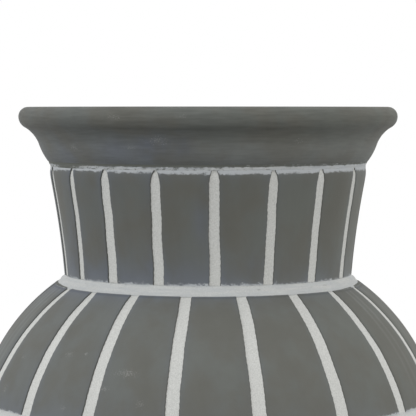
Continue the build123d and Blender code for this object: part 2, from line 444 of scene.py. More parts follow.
# %% Neck wall
neck_outline = neck_face + [
    (neck_surface(NECK_BAND_TOP, GROOVE_DEPTH), NECK_BAND_TOP),
    (neck_surface(Z_NECK, GROOVE_DEPTH), Z_NECK),
    (NECK_LAP + LUTE, Z_NECK),
    (NECK_LAP + LUTE, Z_NECK + LAP + LUTE),
]
inside_levels = np.linspace(Z_NECK + LAP + LUTE, Z_COLLAR + LAP, 8)
neck_outline += [(neck_inside(level), level) for level in inside_levels]
neck_outline += [
    (COLLAR_LAP, Z_COLLAR + LAP),
    (COLLAR_LAP, Z_COLLAR),
    (neck_surface(Z_COLLAR, GROOVE_DEPTH), Z_COLLAR),
    (neck_surface(NECK_HEADS, GROOVE_DEPTH), NECK_HEADS),
]
neck_wall = spin_section("neck_clay", neck_outline, COLUMNS)
neck_reach = carve(neck_wall, neck_outline, neck_tier)
print(f"neck: {len(neck_wall.data.polygons)} faces")

# %% [markdown]
# ## Shoulder
# The lines of the shoulder are staggered by half a pitch, like brickwork, and fan out as the body widens.
# The wall is carved like the neck, on rows that follow the body's curve. The fan sets the heads at the two
# sides a few degrees further to the front.

# %% Shoulder tier
SHOULDER_ROWS = 118
SHOULDER_PHASE = NECK_PHASE + PITCH / 2
SHOULDER_CUT = SimpleNamespace(
    top=[0.3, 1.4, 1.0, 0.4, 0.6, -0.7, 0.3, 0.8, -0.5, 0.4, -0.2, 0.7, -0.6, -1.4, 2.0, -0.6, -0.9, -0.4],
    foot=[-0.4, 0.5, 0.7, 0.1, 0.4, -0.4, 0.5, 0.6, -0.8, 0.6, 0.1, 0.4, -0.3, -1.0, 0.4, -0.3, -1.0, -0.5],
    breadth=[1.02, 1.02, 0.88, 0.82, 0.95, 1.04, 1, 0.96, 1.06, 1, 1.03, 0.95, 1, 0.95, 1.05, 1, 0.97, 1],
    head=[0.12, 0.05, 0.25, 0.2, 0.1, 0, 0.15, 0.05, 0.2, 0.1, 0, 0.2, 0.1, 0.15, 0.2, 0.3, 0.12, 0.03],
)
SHOULDER_FAN = 4.4
shoulder_top = along_at_radius(NECK_BAND_EDGE)
shoulder_foot = along_at_level(Z_BELLY + BELLY_BAND_HALF)
SHOULDER_WIDTHS = (6.5 * MM, 7.9 * MM)
shoulder_face = body_run(shoulder_top, shoulder_foot, SHOULDER_ROWS)
shoulder_tier = plan_tier(shoulder_face, SHOULDER_PHASE, SHOULDER_CUT, SHOULDER_FAN, SHOULDER_WIDTHS)

# %% Shoulder wall
shoulder_outline = shoulder_face + [
    body_point(shoulder_foot, GROOVE_DEPTH),
    (body_point(along_at_level(Z_BELLY), GROOVE_DEPTH)[0], Z_BELLY),
    (BELLY_LAP + LUTE, Z_BELLY),
    (BELLY_LAP + LUTE, Z_BELLY + LAP + LUTE),
]
lap_along = along_at_level(Z_BELLY + LAP + LUTE, WALL)
shoulder_outline += body_run(lap_along, along_at_radius(THROAT_RADIUS, WALL), 14, WALL)
shoulder_outline += [
    (neck_inside(Z_NECK + LAP), Z_NECK + LAP),
    (NECK_LAP, Z_NECK + LAP),
    (NECK_LAP, Z_NECK),
    (NECK_RADIUS - GROOVE_DEPTH, Z_NECK),
    body_point(shoulder_top, GROOVE_DEPTH),
]
shoulder_wall = spin_section("shoulder_clay", shoulder_outline, COLUMNS)
shoulder_reach = carve(shoulder_wall, shoulder_outline, shoulder_tier)
print(f"shoulder: {len(shoulder_wall.data.polygons)} faces")

# %% [markdown]
# ## Belly
# The belly and the floor are one thrown bowl. The photograph shows hardly any of it, so its tier follows the
# other two: the lines stand under those of the neck and narrow towards the foot.

# %% Belly tier
BELLY_ROWS = 150
BELLY_CUT = SimpleNamespace(
    top=[0.4, -0.5, 0.3, 0.6, -0.4, 0.2, -0.6, 0.5, -0.3, 0.7, -0.2, 0.4, -0.7, 0.3, 0.5, -0.4, 0.6, -0.5],
    foot=[0.1, -0.2, 0.6, 0.3, -0.7, 0.5, -0.3, 0.2, -0.6, 0.4, 0.1, 0.7, -0.4, 0.0, 0.8, -0.1, 0.3, -0.8],
    breadth=[1, 1.05, 0.96, 1.03, 1, 0.95, 1.06, 1, 1.02, 0.97, 1, 1.05, 0.98, 1, 0.95, 1.04, 1, 1.02],
    head=[0] * LINES,
)
belly_top = along_at_level(Z_BELLY - BELLY_BAND_HALF)
belly_foot = along_at_level(FOOT_BAND_TOP)
BELLY_WIDTHS = (7.8 * MM, 5.6 * MM)
belly_face = body_run(belly_top, belly_foot, BELLY_ROWS)
belly_tier = plan_tier(belly_face, NECK_PHASE, BELLY_CUT, 0.0, BELLY_WIDTHS)

# %% Belly bowl
BOSS_DROP = 3 * MM
FLOOR_ROUND = 14 * MM
FLOOR_CORNER = [(72 * MM, 0), (80 * MM, 2.5 * MM), (87.5 * MM, 7.5 * MM)]  # radius, rise above the floor
floor_along = along_at_level(Z_FLOOR + FLOOR_ROUND, WALL)
belly_outline = belly_face + [
    body_point(belly_foot, GROOVE_DEPTH),
    (HEEL_RADIUS - GROOVE_DEPTH, Z_FOOT),
    (FOOT_BORE - LUTE, Z_FOOT),
    (FOOT_BORE - LUTE, Z_FOOT - BOSS_DROP),
    (0, Z_FOOT - BOSS_DROP),
    (0, Z_FLOOR),
    *((radius, Z_FLOOR + rise) for radius, rise in FLOOR_CORNER),
]
belly_outline += body_run(floor_along, along_at_level(Z_BELLY + LAP, WALL), 20, WALL)
belly_outline += [
    (BELLY_LAP, Z_BELLY + LAP),
    (BELLY_LAP, Z_BELLY),
    (body_point(along_at_level(Z_BELLY), GROOVE_DEPTH)[0], Z_BELLY),
    body_point(belly_top, GROOVE_DEPTH),
]
belly_bowl = spin_section("belly_clay", belly_outline, COLUMNS)
belly_reach = carve(belly_bowl, belly_outline, belly_tier)
print(f"belly: {len(belly_bowl.data.polygons)} faces")

# %% [markdown]
# ## Rim collar
# The collar is a rolled lip over a cove, on a skirt that leans out from the neck. Its outline is drawn like
# a walk: forward along arcs, each of which starts in the direction in which the last one ended.


# %% Walk along arcs
def walk_arc(path, heading, radius, turn, steps):
    """Add an arc to a path, to the left for a positive turn, and give the new heading in degrees."""
    reach = radius if turn > 0 else -radius
    start = math.radians(heading)
    centre = (path[-1][0] - reach * math.sin(start), path[-1][1] + reach * math.cos(start))
    for step in range(1, steps + 1):
        at = start + math.radians(turn) * step / steps
        path.append((centre[0] + reach * math.sin(at), centre[1] - reach * math.cos(at)))
    return heading + turn


def walk_to(path, heading, goal, steps):
    """Add the one arc that starts in this heading and ends at a goal."""
    chord = (goal[0] - path[-1][0], goal[1] - path[-1][1])
    off = (math.degrees(math.atan2(chord[1], chord[0])) - heading + 180) % 360 - 180
    radius = math.hypot(*chord) / (2 * math.sin(math.radians(abs(off))))
    return walk_arc(path, heading, radius, 2 * off, steps)


print("arcs are walked one after the other")

# %% Collar outline
LIP_ROUND = 5.8 * MM
MOUTH_RADIUS = 103 * MM
MOUTH_ROUND = 4 * MM
widest_lip = (RIM_RADIUS, Z_RIM - LIP_ROUND)
ROLL_ROUND = 7.5 * MM
COVE_ROUND = 19.5 * MM
skirt_edge = (NECK_TOP_RADIUS + 1.9 * MM, COLLAR_BAND_TOP + 2.7 * MM)
skirt_foot = (NECK_TOP_RADIUS + 0.1 * MM, COLLAR_BAND_TOP)
underside = [widest_lip]
heading = walk_arc(underside, -90, ROLL_ROUND, -60, 14)
heading = walk_arc(underside, heading, COVE_ROUND, 41, 14)
heading = walk_to(underside, heading, skirt_edge, 10)
walk_to(underside, heading, skirt_foot, 8)
lip_top = [widest_lip]
heading = walk_arc(lip_top, 90, LIP_ROUND, 90, 10)
lip_top.append((MOUTH_RADIUS + MOUTH_ROUND, Z_RIM))
walk_arc(lip_top, heading, MOUTH_ROUND, 66, 7)
mouth_flare = MOUTH_RADIUS - neck_inside(Z_RIM)
inside_levels = np.linspace(lip_top[-1][1] - 2 * MM, Z_COLLAR + LAP + LUTE, 12)
inside_rises = (inside_levels - Z_COLLAR) / (Z_RIM - Z_COLLAR)
collar_inside = [
    (neck_inside(level) + mouth_flare * rise**2, level) for level, rise in zip(inside_levels, inside_rises)
]
print(f"collar outline: {len(lip_top)} points over the lip, {len(underside)} under it")

# %% Collar
COLLAR_COLUMNS = 360
RING_BED = 3 * MM
collar_outline = [*reversed(underside), *lip_top[1:], *collar_inside]
collar_outline += [
    (COLLAR_LAP + LUTE, Z_COLLAR + LAP + LUTE),
    (COLLAR_LAP + LUTE, Z_COLLAR),
    (NECK_TOP_RADIUS - RING_BED, Z_COLLAR),
    (skirt_foot[0] - GROOVE_DEPTH, COLLAR_BAND_TOP),
]
rim_collar = spin_section("collar_clay", collar_outline, COLLAR_COLUMNS)
print(f"collar: {len(rim_collar.data.polygons)} faces")

# %% [markdown]
# ## Foot
# The foot is a plain turned ring with a softened toe, spun like the rest. The boss under the floor of the
# belly centres in its bore.

# %% Foot ring
TOE_ROUND = 3 * MM
FOOT_COLUMNS = 180
foot_flank = (FOOT_RADIUS - HEEL_RADIUS) / Z_FOOT
toe = [(FOOT_BORE, 0), (FOOT_RADIUS - 1.2 * TOE_ROUND, 0)]
walk_arc(toe, 0, TOE_ROUND, 90 + math.degrees(math.atan(foot_flank)), 8)
foot_outline = toe + [
    (FOOT_RADIUS - foot_flank * FOOT_BAND_FOOT, FOOT_BAND_FOOT),
    (FOOT_RADIUS - foot_flank * FOOT_BAND_FOOT - GROOVE_DEPTH, FOOT_BAND_FOOT),
    (HEEL_RADIUS - GROOVE_DEPTH, Z_FOOT),
    (FOOT_BORE, Z_FOOT),
]
foot_ring = spin_section("foot_clay", foot_outline, FOOT_COLUMNS)
print(f"foot: {len(foot_ring.data.polygons)} faces")

# %% [markdown]
# ## Lines of slip
# Slip is poured into each groove and shrinks as it dries, so it ends a little below the clay, dishes in the
# middle and lies lower on its left. One flat strip is modelled as a grid and copied for each groove. The
# copy is laid along its groove, with its edges against the groove's walls, and a solidify modifier gives it
# its depth.

# %% Strips of slip
STRIP_COLUMNS = 8
SLIP_EDGE = 0.55 * MM
SLIP_LEAN = 0.15 * MM
SLIP_DISH = 0.2 * MM
SLIP_INSET = 0.1 * GROOVE_RUN
SLIP_DEPTH = 0.7 * MM


def lay_strip(strip, tier, line):
    """Bend a flat strip, from minus one to one each way, into one groove of a tier."""
    points = np.empty(len(strip.data.vertices) * 3)
    strip.data.vertices.foreach_get("co", points)
    across, up = points.reshape(-1, 3)[:, 0], points.reshape(-1, 3)[:, 1]
    rows = np.arange(len(tier.down))
    open_rows = rows[tier.depth[line] > 0.5 * GROOVE_DEPTH]
    at = open_rows[0] + (1 - up) / 2 * (open_rows[-1] - open_rows[0])

    def read(values):
        return np.interp(at, rows, values)

    half = np.where(across < 0, read(tier.half[0, line]), read(tier.half[1, line])) - SLIP_INSET
    sunk = SLIP_LEAN * across - SLIP_EDGE - SLIP_DISH * (1 - across**2)
    radius = read(tier.radius) + read(tier.outward[:, 0]) * sunk
    level = read(tier.level) + read(tier.outward[:, 1]) * sunk
    angle = read(tier.middle[line]) + across * half / read(tier.radius)
    strip.data.vertices.foreach_set(
        "co", np.stack([radius * np.sin(angle), -radius * np.cos(angle), level], axis=1).ravel()
    )
    paint(strip, "edge", np.abs(across))


# %% A tier of strips
def lay_tier(name, tier):
    """All the strips of a tier, copied from one flat strip and joined."""
    clear_selection()
    bpy.ops.mesh.primitive_grid_add(x_subdivisions=STRIP_COLUMNS, y_subdivisions=len(tier.down), size=2)
    pattern = bpy.context.object
    strips = []
    for line in range(LINES):
        pick(pattern)
        bpy.ops.object.duplicate(linked=False)
        lay_strip(bpy.context.object, tier, line)
        strips.append(bpy.context.object)
    clear_selection()
    for strip in strips:
        strip.select_set(True)
    bpy.context.view_layer.objects.active = strips[0]
    bpy.ops.object.join()
    joined = bpy.context.object
    joined.name = joined.data.name = name
    body = joined.modifiers.new("depth", "SOLIDIFY")
    body.thickness = SLIP_DEPTH
    body.offset = -1
    bpy.ops.object.modifier_apply(modifier=body.name)
    bpy.data.objects.remove(pattern)
    print(f"{name}: {LINES} strips, {len(joined.data.polygons)} faces")
    return joined


neck_stripes = lay_tier("neck_slip_lines", neck_tier)
shoulder_stripes = lay_tier("shoulder_slip_lines", shoulder_tier)
belly_stripes = lay_tier("belly_slip_lines", belly_tier)

# %% [markdown]
# ## Rings of slip
# A brush lays a ring of slip in the groove over each joint while the vase turns on the wheel, so the rings
# are a little lumpy and worn. Each is spun from a thin half section that follows the groove. A few sine
# waves then move its face in and out.

# %% Rings
BAND_COLUMNS = 540
BAND_THICKNESS = 0.9 * MM
LUMP = 0.06 * MM


def lay_band(name, face, wear, thin):
    """A ring of slip whose outer face is listed from the top down."""
    rows = np.array(face)
    inside = rows - BAND_THICKNESS * outward_of(rows)
    ring = spin_section(name, [tuple(point) for point in [*rows, *inside[::-1]]], BAND_COLUMNS)
    points, row = read_points(ring)
    share = np.where(row < len(face), row, 2 * len(face) - 1 - row) / (len(face) - 1)
    turn = turn_of(points)
    lumps = np.sin(9 * turn + 6.5 * share) + np.sin(23 * turn - 7 * share) + np.sin(41 * turn + 9 * share)
    lumps *= LUMP
    middle = np.where(row < len(face), np.sin(np.pi * share), 0)
    flat = np.hypot(points[:, 0], points[:, 1])
    points[:, :2] *= (1 + lumps * middle / flat)[:, None]
    write_points(ring, points)
    paint(ring, "edge", np.abs(2 * share - 1))
    paint(ring, "worn", wear(turn, share))
    paint(ring, "thin", np.full(len(turn), thin))
    print(f"{name}: {len(ring.data.polygons)} faces")
    return ring


def blend_points(start, end, count):
    """Points in a straight line from one place to another."""
    shares = np.linspace(0, 1, count)
    return [tuple(np.array(start) * (1 - share) + np.array(end) * share) for share in shares]


print(f"rings of slip are {BAND_THICKNESS / MM:.1f} mm thick")


# %% Wear of the rings
def collar_band_wear(turn, share):
    """Missed in the corner under the collar, fuller on the right, and dry in one place on the left."""
    dry = 0.31 - 0.14 * np.clip(np.sin(turn) / 0.6, 0, 1) + 0.35 * np.exp(-(((turn + 1.03) / 0.14) ** 2))
    return dry + 0.5 * np.clip((0.55 - share) / 0.45, 0, 1)


def edge_wear(turn, share):
    """Thin at both edges."""
    return 0.15 * np.abs(2 * share - 1)


def neck_band_wear(turn, share):
    """The brush ran thin towards the sides, but not over the heads of the shoulder's lines."""
    from_line = (turn[:, None] - shoulder_tier.middle[None, :, 0] + np.pi) % (2 * np.pi) - np.pi
    clear = np.abs(from_line).min(axis=1) * NECK_BAND_EDGE > 3.2 * MM
    clear |= np.abs(np.sin(turn)) > 0.95
    edge = 1.02 - 0.45 * np.clip((np.abs(np.sin(turn)) - 0.7) / 0.3, 0, 1) ** 1.5
    return 0.25 * (1 - share) ** 2 + clear * np.clip((share - edge) / 0.1, 0, 1)


# %% The four rings
collar_face = blend_points(
    (skirt_foot[0] - 0.3 * MM, COLLAR_BAND_TOP), (neck_surface(NECK_HEADS, 0.1 * MM), NECK_HEADS), 12
)
collar_band = lay_band("collar_slip_ring", collar_face, collar_band_wear, 0.9)
corner_face = [
    (neck_surface(NECK_BAND_TOP, 0.3 * MM), NECK_BAND_TOP),
    (NECK_RADIUS + 0.2 * MM, Z_NECK + 0.9 * MM),
    (NECK_RADIUS + 0.9 * MM, Z_NECK + 0.2 * MM),
    (NECK_RADIUS + 2.0 * MM, Z_NECK - 0.5 * MM),
    *body_run(along_at_radius(NECK_RADIUS + 3.4 * MM), shoulder_top, 7, 0.2 * MM),
]
neck_band = lay_band("neck_slip_ring", corner_face, neck_band_wear, 0.5)
belly_band = lay_band("belly_slip_ring", body_run(shoulder_foot, belly_top, 10, 0.4 * MM), edge_wear, 0.4)
heel_face = [
    *body_run(belly_foot, along_at_level(Z_FOOT + 0.8 * MM), 5, 0.4 * MM),
    (HEEL_RADIUS - 0.1 * MM, Z_FOOT),
    (FOOT_RADIUS - foot_flank * FOOT_BAND_FOOT - 0.4 * MM, FOOT_BAND_FOOT),
]
foot_band = lay_band("foot_slip_ring", heel_face, edge_wear, 0.4)

# %% [markdown]
# ## Marks of the maker's hand
# Before firing, a thin wash of slip was wiped over the vase. It stayed as a bluish haze next to the rings
# and along the grooves, with a few dry brush strokes at the edge of each ring, and as dust on what faces up,
# which also carries painted light there. A pale veil lies along the rings, and as painted light on the
# collar's skirt, at the sides of the neck and towards the foot of the neck and shoulder.
# The turned collar and foot keep level marks of the wheel, which the carving took off the rest. The
# materials read these as numbers painted on the vertices, as they follow the shape and not a grid in space.


# %% Haze, brush and dust
def haze_near(distance, reach):
    """One at an edge, fading with the distance from it."""
    return np.exp(-np.maximum(distance, 0) / reach)


def scuff_at(points, spots):
    """Soft spots, each a turn in degrees, a level, half widths across and up in mm, and a strength."""
    turn = np.degrees(turn_of(points))
    radius = np.hypot(points[:, 0], points[:, 1])
    scuff = np.zeros(len(points))
    for spot_turn, level, width, height, strength in spots:
        across = np.radians(turn - spot_turn) * radius / (width * MM)
        up = (points[:, 2] - level * MM) / (height * MM)
        scuff = np.maximum(scuff, strength * np.exp(-(across**2) - up**2))
    return scuff


def paint_clay(piece, haze, brush, dust, veil, spots=()):
    """Keep the marks of a clay piece. Its dust, with painted light, lies on what faces up, and its veil,
    partly painted light, all over.
    """
    normals = np.empty(len(piece.data.vertices) * 3)
    piece.data.vertices.foreach_get("normal", normals)
    points = read_points(piece)[0]
    side = points[:, 0] / np.hypot(points[:, 0], points[:, 1]).clip(MM)
    paint(piece, "haze", np.clip(haze * (0.7 - 0.35 * side) + 0.1 * (1 - side), 0, 1))
    paint(piece, "brush", np.clip(brush, 0, 1))
    paint(piece, "dust", dust * np.clip(normals.reshape(-1, 3)[:, 2], 0, 1) + veil)
    paint(piece, "scuff", scuff_at(points, spots))


# %% Brush strokes and carved sections
def brushed(distance, reach, run=2 * MM):
    """Slip that the brush left on the clay beside a ring: more at the ring, 0.6 where its reach ends."""
    return 0.6 + (reach - distance) / run


def paint_carved(piece, reach, top, foot, look):
    """Paint a carved section: haze at rings, grooves and patches, a veil partly of painted light, painted
    shade in the grooves, and streaks.
    """
    haze = top.haze * haze_near(reach.top, 5 * MM) + foot.haze * haze_near(reach.foot, 8 * MM)
    haze += 0.3 * haze_near(reach.clear, 2.2 * MM) + scuff_at(read_points(piece)[0], look.patches)
    brush = np.maximum(brushed(reach.top, top.brush, top.run), brushed(reach.foot, foot.brush, foot.run))
    # The veil lightens the clay: a little at the rings, and as painted light broadly towards the foot and by
    # the look's paleness
    veil = top.veil * haze_near(reach.top, 1.6 * MM) + foot.veil * haze_near(reach.foot, 2.4 * MM)
    veil += look.bloom * haze_near(reach.foot, 25 * MM) + look.pale
    # Dust with painted light on what faces up, and pale streaks in a few columns
    dust = np.full(len(haze), look.dust)
    for line, station in look.streaks:
        dust += 2.0 * ((reach.line == line) & (reach.station == station))
    in_groove = (reach.station > 0) & (reach.station < len(STATIONS) - 1)
    # Painted shade: the walls of the grooves are darkened, through the number named cut
    paint(piece, "cut", reach.on_tier & in_groove)
    bare = ~reach.on_tier | in_groove
    outside = (np.where(bare, 0, values) for values in (haze, brush, dust, veil))
    paint_clay(piece, *outside, look.scuffs)


# %% Paint the neck
NECK_PATCHES = [  # bluish spots of wash
    (-2.7, 275, 4, 12, 0.6),
    (-22, 249, 4, 5, 0.3),
    (-6.5, 248, 9, 7, 0.2),
    (17, 249, 6, 6, 0.4),
    (-62, 252, 8, 20, 0.5),
]
neck_turn = turn_of(read_points(neck_wall)[0])
# Under the collar the brush ran dry on the left, most of all in one place, and a little on the far right
dry_side = np.exp(-(((neck_turn + 0.7) / 0.4) ** 2)) + 0.6 * np.exp(-(((neck_turn + 1.03) / 0.14) ** 2))
dry_side += 0.45 * np.clip(np.sin(neck_turn), 0, 1) ** 3
neck_top_edge = SimpleNamespace(haze=0.5, brush=(2.1 - 0.95 * dry_side) * MM, run=2.5 * MM, veil=0.6)
front_foot = (0.1 + 0.6 * np.exp(-((neck_turn / 0.5) ** 2))) * MM
neck_foot_edge = SimpleNamespace(haze=1.3, brush=front_foot, run=4.5 * MM, veil=0.9)
# Painted light: the sides of the neck are paler than its front, and its right a little paler still
neck_side = np.clip((np.abs(neck_turn) - 0.95) / 0.25, 0, 1)
neck_painted_light = neck_side * np.where(neck_turn > 0, 1.3, 1.1) + 0.25 * np.clip(neck_turn / 0.4, 0, 1)
neck_look = SimpleNamespace(
    dust=1.3, bloom=0.65, pale=neck_painted_light, streaks=(), scuffs=(), patches=NECK_PATCHES
)
paint_carved(neck_wall, neck_reach, neck_top_edge, neck_foot_edge, neck_look)
print(f"neck painted, with {len(NECK_PATCHES)} bluish patches")

# %% Paint the shoulder
SHOULDER_STREAKS = [  # line, and column from the left edge of its groove
    (2, 17), (2, 20), (3, 14), (3, 17), (13, 16), (13, 19), (13, 22)
]
SHOULDER_SCUFFS = [  # spots where pale slip rubbed off on the clay
    (-20.5, 193.5, 9, 3, 1.1),
    (-25.5, 185, 3, 2, 1.2),
    (-16, 178, 2.5, 3, 1.2),
    (-33.5, 202, 1, 0.8, 2.0),
    (-39, 201, 4, 2, 1.1),
    (-36, 173, 3, 2, 1.1),
    (-57, 196, 3, 2, 0.9),
    (-60, 177, 3, 5, 1.0),
]
far_right = np.clip(np.sin(turn_of(read_points(shoulder_wall)[0])), 0, 1) ** 4
shoulder_top_edge = SimpleNamespace(haze=1.1, brush=-0.4 * MM, run=2 * MM, veil=0.3)
shoulder_foot_edge = SimpleNamespace(haze=0.6, brush=(0.2 + far_right) * MM, run=3 * MM, veil=0.4)
shoulder_look = SimpleNamespace(
    dust=1.6, bloom=0.45, pale=0, streaks=SHOULDER_STREAKS, scuffs=SHOULDER_SCUFFS, patches=()
)
paint_carved(shoulder_wall, shoulder_reach, shoulder_top_edge, shoulder_foot_edge, shoulder_look)
print(f"shoulder painted, with {len(SHOULDER_STREAKS)} streaks and {len(SHOULDER_SCUFFS)} scuffs")

# %% Paint the belly
belly_top_edge = SimpleNamespace(haze=0.8, brush=0.2 * MM, run=2 * MM, veil=0.4)
belly_foot_edge = SimpleNamespace(haze=1.0, brush=0.3 * MM, run=2 * MM, veil=0.7)
belly_look = SimpleNamespace(dust=1.3, bloom=0, pale=0, streaks=(), scuffs=(), patches=())
paint_carved(belly_bowl, belly_reach, belly_top_edge, belly_foot_edge, belly_look)
print("belly painted")

# %% Paint the collar
COLLAR_PATCHES = [
    (-8, 317, 6, 7, 0.9),
    (-17, 317, 12, 7, 1.1),
    (-30, 316, 15, 7, 0.55),
    (-52, 316, 12, 6, 0.4),
]
COLLAR_SCUFFS = [
    (-15.5, 321, 9, 4, 1.0),
    (-7, 334.5, 5, 1.5, 1.0),
    (-27, 334, 6, 2.5, 1.0),
    (-49, 317, 5, 3, 1.0),
    (-25, 317, 6, 2, 0.9),
    (29, 321, 5, 3, 0.85),
]
collar_points = read_points(rim_collar)[0]
collar_rise = collar_points[:, 2] - COLLAR_BAND_TOP
skirt_patch = scuff_at(collar_points, COLLAR_PATCHES)
skirt_haze = 0.4 * haze_near(collar_rise, 9 * MM) + skirt_patch
skirt_brush = brushed(collar_rise, -0.6 * MM)
skirt_side = np.sin(turn_of(collar_points))
# Painted light: the skirt is paler low down, more so on the right, and less so under the bluish patches, and
# a band higher up on the right is paler as well
skirt_light = 0.95 + 0.7 * np.clip((skirt_side + 0.1) / 0.25, 0, 1) - 0.55 * skirt_patch
skirt_veil = skirt_light * np.exp(-(((collar_rise - 7 * MM) / (8 * MM)) ** 2))
skirt_veil += 0.6 * np.clip(skirt_side, 0, 1) * np.exp(-(((collar_rise - 18 * MM) / (6 * MM)) ** 2))
paint_clay(rim_collar, skirt_haze, skirt_brush, 0.15, skirt_veil, COLLAR_SCUFFS)
print(f"collar painted, with {len(COLLAR_PATCHES)} bluish patches and {len(COLLAR_SCUFFS)} scuffs")

# %% Paint the foot and the marks of the wheel
foot_points = read_points(foot_ring)[0]
foot_drop = FOOT_BAND_FOOT - foot_points[:, 2]
foot_outside = np.hypot(foot_points[:, 0], foot_points[:, 1]) > FOOT_RADIUS - 6 * MM
foot_brush = foot_outside * brushed(foot_drop, -0.5 * MM)
paint_clay(foot_ring, 0.8 * haze_near(foot_drop, 4 * MM), foot_brush, 1.0, 0.0)
for piece in (rim_collar, foot_ring):
    paint(piece, "wheel", np.ones(len(piece.data.vertices)))
print("foot painted, and wheel marks kept on collar and foot")

# %% [markdown]
# ## Shared effects
# Clay and slip have the same kinds of unevenness at different strengths: broad mottling from the kiln, fine
# grain and grit, upright streaks from wiping, level sweeps of the turning wheel, and smudges. Each is one
# noise, stretched along its direction, and a node group holds them all so that both finishes draw on it.


# %% Node helpers
def add_node(tree, kind, **values):
    """Add a node and set its properties and its inputs by name or number."""
    node = tree.nodes.new(kind)
    for key, value in values.items():
        if key == "inputs":
            for socket, content in value.items():
                node.inputs[socket].default_value = content
        else:
            setattr(node, key, value)
    return node


def stretched_noise(tree, vector, scale, stretch, detail):
    """A noise on object coordinates, longer in one direction than in the others."""
    mapping = add_node(tree, "ShaderNodeMapping", inputs={"Scale": stretch})
    noise = add_node(tree, "ShaderNodeTexNoise", inputs={"Scale": scale, "Detail": detail, "Roughness": 0.6})
    tree.links.new(vector, mapping.inputs["Vector"])
    tree.links.new(mapping.outputs["Vector"], noise.inputs["Vector"])
    return noise.outputs["Fac"]


# %% Node group of the hand's marks
marks = bpy.data.node_groups.new("hand_marks", "ShaderNodeTree")
marks.interface.new_socket("Vector", in_out="INPUT", socket_type="NodeSocketVector")
MARKS = [  # name, scale per metre, stretch, detail
    ("Mottle", 42, (1, 1, 0.8), 3),
    ("Grain", 420, (1, 1, 1), 4),
    ("Grit", 1700, (1, 1, 1), 2),
    ("Wipe", 110, (1, 1, 0.12), 3),
    ("Sweep", 420, (0.16, 0.16, 1.6), 4),
    ("Smudge", 480, (0.6, 0.6, 1.1), 4),
]
marks_in = marks.nodes.new("NodeGroupInput")
marks_out = marks.nodes.new("NodeGroupOutput")
for name, scale, stretch, detail in MARKS:
    marks.interface.new_socket(name, in_out="OUTPUT", socket_type="NodeSocketFloat")
    noise = stretched_noise(marks, marks_in.outputs["Vector"], scale, stretch, detail)
    marks.links.new(noise, marks_out.inputs[name])
print(f"group {marks.name}: {len(MARKS)} noises")


# %% Material helpers
def begin_finish(name, roughness, specular):
    """A new material, its node tree and shader, and the marks of the hand on object coordinates."""
    material = bpy.data.materials.new(name)
    material.use_nodes = True
    tree = material.node_tree
    shader = tree.nodes["Principled BSDF"]
    shader.inputs["Roughness"].default_value = roughness
    shader.inputs["Specular IOR Level"].default_value = specular
    place = add_node(tree, "ShaderNodeTexCoord")
    hand_marks = add_node(tree, "ShaderNodeGroup", node_tree=marks)
    tree.links.new(place.outputs["Object"], hand_marks.inputs["Vector"])
    return material, tree, shader, hand_marks.outputs


def painted(tree, name):
    """The number painted on the vertices under a name."""
    return add_node(tree, "ShaderNodeAttribute", attribute_name=name).outputs["Fac"]


# %% Helpers for numbers
def reckon(tree, operation, first, second):
    """One step of arithmetic on two sockets or numbers."""
    node = add_node(tree, "ShaderNodeMath", operation=operation)
    for socket, value in zip(node.inputs, (first, second)):
        if isinstance(value, (int, float)):
            socket.default_value = value
        else:
            tree.links.new(value, socket)
    return node.outputs["Value"]


def times(tree, first, second):
    """The product of two sockets or numbers."""
    return reckon(tree, "MULTIPLY", first, second)


def plus(tree, first, second):
    """The sum of two sockets or numbers."""
    return reckon(tree, "ADD", first, second)


def ramp(tree, value, low, high, bottom=0.0, top=1.0):
    """Stretch a range of values to another, with soft ends."""
    node = add_node(tree, "ShaderNodeMapRange", interpolation_type="SMOOTHSTEP")
    for socket, number in zip(("From Min", "From Max", "To Min", "To Max"), (low, high, bottom, top)):
        node.inputs[socket].default_value = number
    tree.links.new(value, node.inputs["Value"])
    return node.outputs["Result"]


# %% Helpers for colours and bumps
def mix_colour(tree, share, first, second, blend="MIX"):
    """Mix two colours, each a socket or three numbers, by a share."""
    node = add_node(tree, "ShaderNodeMix", data_type="RGBA", blend_type=blend)
    if isinstance(share, (int, float)):
        node.inputs[0].default_value = share
    else:
        tree.links.new(share, node.inputs[0])
    for socket, colour in ((node.inputs[6], first), (node.inputs[7], second)):
        if isinstance(colour, tuple):
            socket.default_value = (*colour, 1)
        else:
            tree.links.new(colour, socket)
    return node.outputs[2]


def broken(tree, mark, smudge, grit):
    """Smudges with grit in them, which break the edge of a painted mark up."""
    return plus(tree, times(tree, mark["Smudge"], smudge), times(tree, mark["Grit"], grit))


def roughen(tree, shader, height, strength, distance):
    """Press a height into the surface as fine bumps."""
    bump = add_node(tree, "ShaderNodeBump", inputs={"Strength": strength, "Distance": distance})
    tree.links.new(height, bump.inputs["Height"])
    tree.links.new(bump.outputs["Normal"], shader.inputs["Normal"])


def grey(tree, value):
    """A number as a grey colour."""
    node = add_node(tree, "ShaderNodeCombineColor")
    for socket in node.inputs:
        tree.links.new(value, socket)
    return node.outputs["Color"]


print("helpers for the finishes are ready")

# %% [markdown]
# ## Dark clay
# The clay is a warm olive grey in the open and bluish where the thin wash stayed. Upright wiping makes faint
# streaks. At the edge of a ring, the brush left broken level strokes of slip on the clay. A pale wash
# carries painted light as well, and the walls of the grooves are darkened as painted shade. Mix nodes lay
# these one over the other.

# %% Clay colours
WARM_CLAY = (0.090, 0.095, 0.083)
BROWN_CLAY = (0.097, 0.097, 0.083)
COOL_CLAY = (0.092, 0.102, 0.120)
PAINTED_LIGHT_AND_WASH = (0.305, 0.32, 0.312)
THIN_SLIP = (0.40, 0.42, 0.435)
GROOVE_SHADE = (0.045, 0.047, 0.044)
RUBBED_SLIP = (0.53, 0.53, 0.515)

